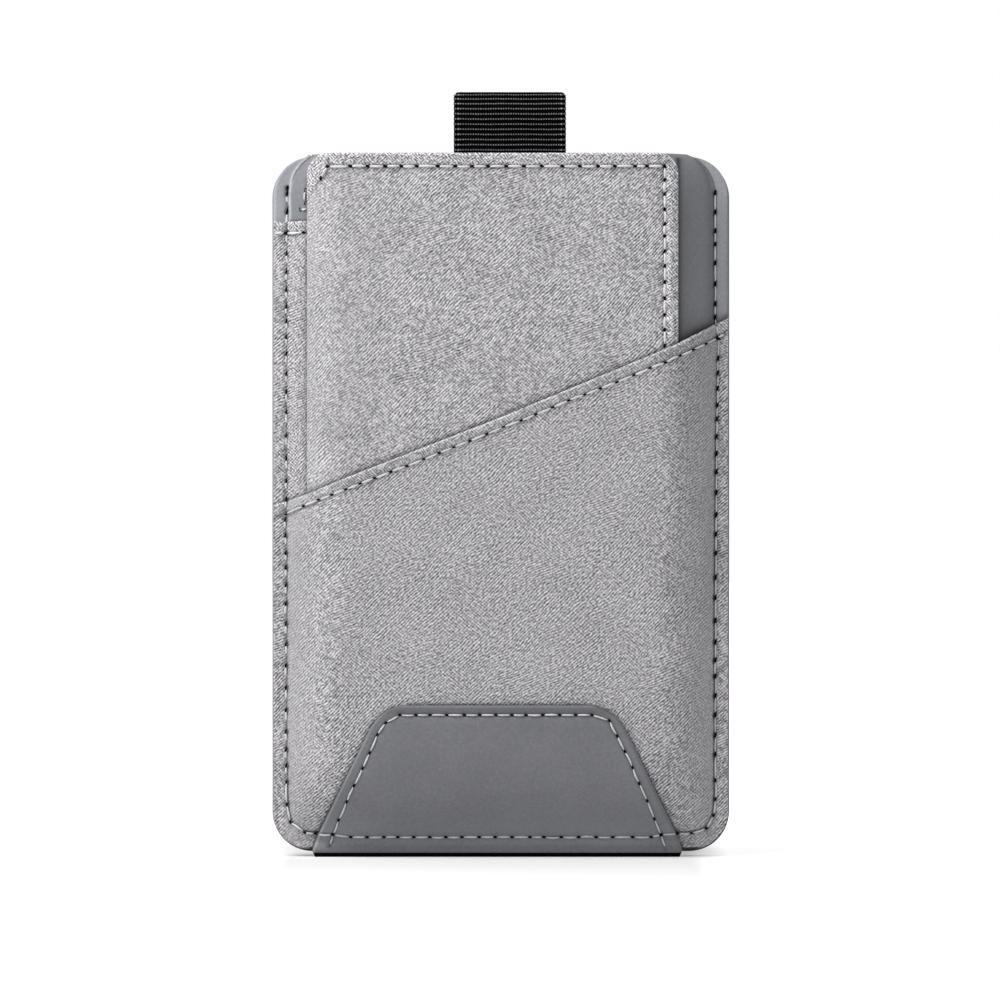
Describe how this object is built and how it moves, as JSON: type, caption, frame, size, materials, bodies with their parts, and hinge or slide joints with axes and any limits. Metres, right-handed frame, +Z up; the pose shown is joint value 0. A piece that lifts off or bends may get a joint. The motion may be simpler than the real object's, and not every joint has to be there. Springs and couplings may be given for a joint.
{
  "type": "front pocket wallet",
  "caption": "Slim upright front pocket wallet of leather and woven fabric, with a diagonal card pocket, a wrapped leather base and a ribbon pull tab that lifts the cards.",
  "frame": {"origin": "middle of the flat foot that the wallet stands on, on the wallet's centre plane", "axes": "+Z up along the wallet's height, the front with the diagonal pocket faces -Y, +X to the right seen from the front"},
  "size_m": [0.066, 0.0141, 0.1098],
  "materials": {
    "smooth_leather": "satin",
    "dark_leather": "satin",
    "woven_fabric": "matte",
    "webbing": "matte",
    "board": "matte",
    "thread": "satin"
  },
  "bodies": {
    "wallet_body": {"back_outer_panel": "smooth_leather", "back_board": "board", "back_lining_panel": "smooth_leather", "main_pocket_panel": "smooth_leather", "side_pocket_panel": "woven_fabric", "centre_panel": "woven_fabric", "centre_panel_lining": "woven_fabric", "front_pocket_panel": "woven_fabric", "leather_patch": "dark_leather", "pull_strap_rear": "webbing", "strap_anchor_tack": "thread", "rim_seam_front_thread": "thread", "rim_seam_rear_thread": "thread", "front_hem_thread": "thread", "centre_hem_thread": "thread", "side_hem_thread": "thread", "patch_front_thread": "thread", "patch_rear_thread": "thread"},
    "tab": {"pull_tab": "webbing", "pull_strap_front": "webbing", "tab_bar_tack": "thread"},
    "strap_turn": {"pull_strap_loop": "webbing"}
  },
  "joints": [
    {"name": "tab_pull", "type": "slide", "parent": "wallet_body", "child": "tab", "axis": [0, 0, 1], "range_m": [0, 0.06]},
    {"name": "card_lift", "type": "slide", "parent": "wallet_body", "child": "strap_turn", "axis": [0, 0, 1], "range_m": [0, 0.03], "deforming": ["pull_strap_rear"]}
  ],
  "couplings": [
    {"joint": "card_lift", "follows": "tab_pull", "ratio": 0.5}
  ]
}
